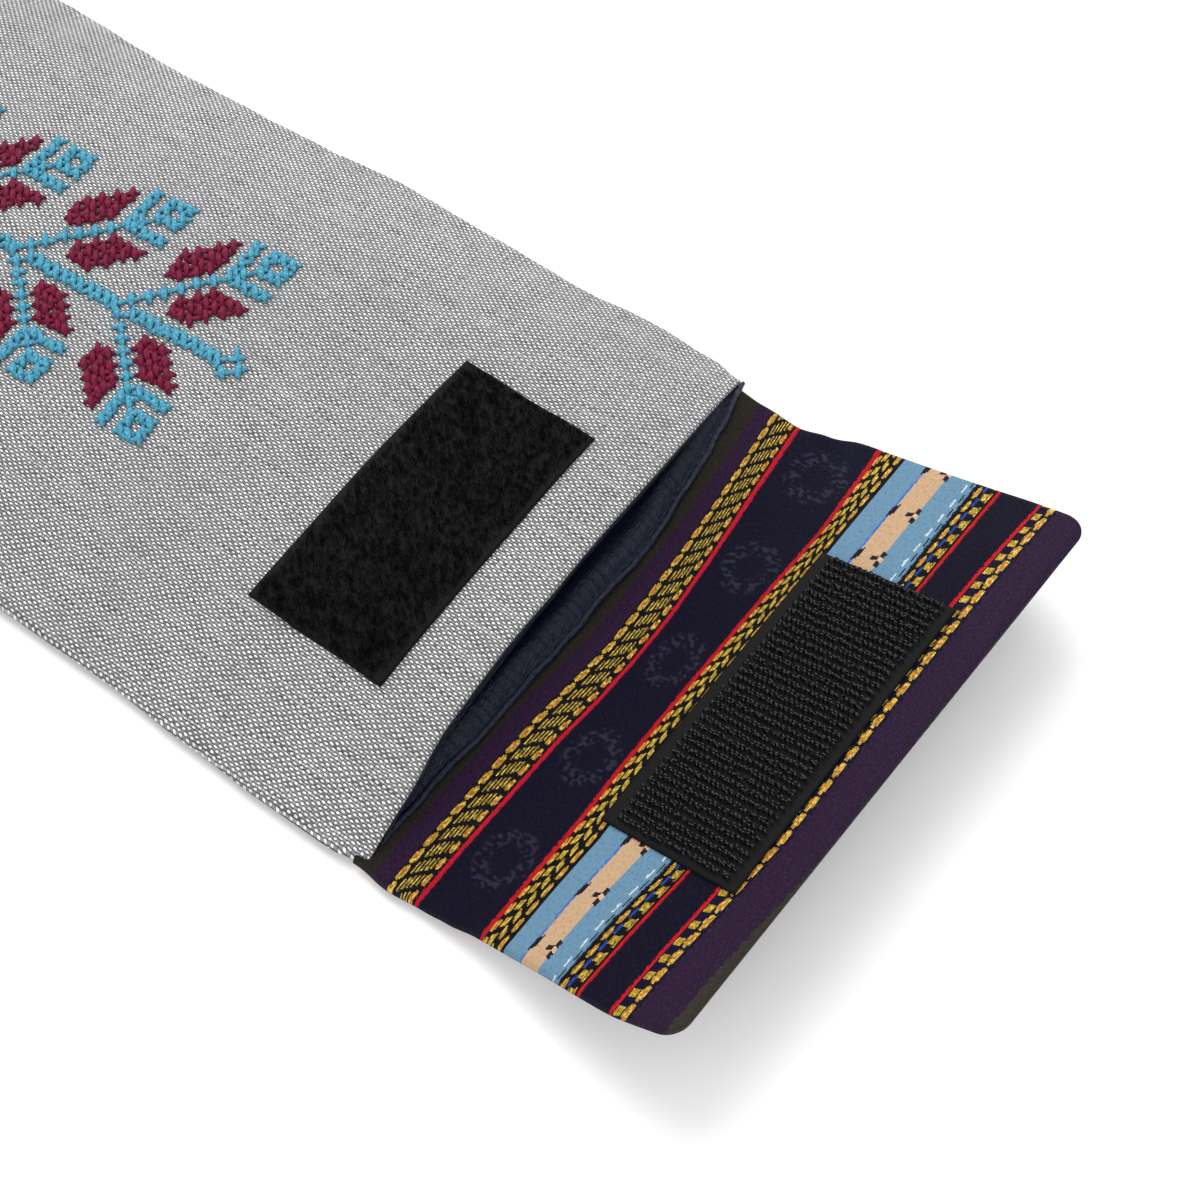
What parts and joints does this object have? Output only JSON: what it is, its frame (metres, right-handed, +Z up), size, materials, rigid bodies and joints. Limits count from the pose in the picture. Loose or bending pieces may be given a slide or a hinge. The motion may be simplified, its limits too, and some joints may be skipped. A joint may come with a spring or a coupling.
{
  "type": "pouch",
  "caption": "Flat fabric pouch lying open: woven front, striped brocade back running on as the flap, satin pocket lining and hook-and-loop tape.",
  "frame": {"origin": "middle of the bounding box, at the underside of the back panel on the table", "axes": "+Y along the pouch from its closed end to the flap, +X across it, +Z up out of the front panel"},
  "size_m": [0.1022, 0.24, 0.0167],
  "materials": {
    "grey_cloth": "plain woven grey cotton with cross-stitch embroidery",
    "brocade": "striped brocade in navy, purple, red, gold and light blue",
    "navy_satin": "glossy navy satin",
    "loop_tape": "black fuzzy loop tape",
    "hook_tape": "black woven tape with rows of small glossy hooks"
  },
  "bodies": {
    "root": {"front_panel": "grey_cloth", "back_panel_and_flap": "brocade", "flap_facing": "brocade", "pocket_lining": "navy_satin", "loop_patch": "loop_tape", "hook_patch": "hook_tape"}
  },
  "joints": []
}
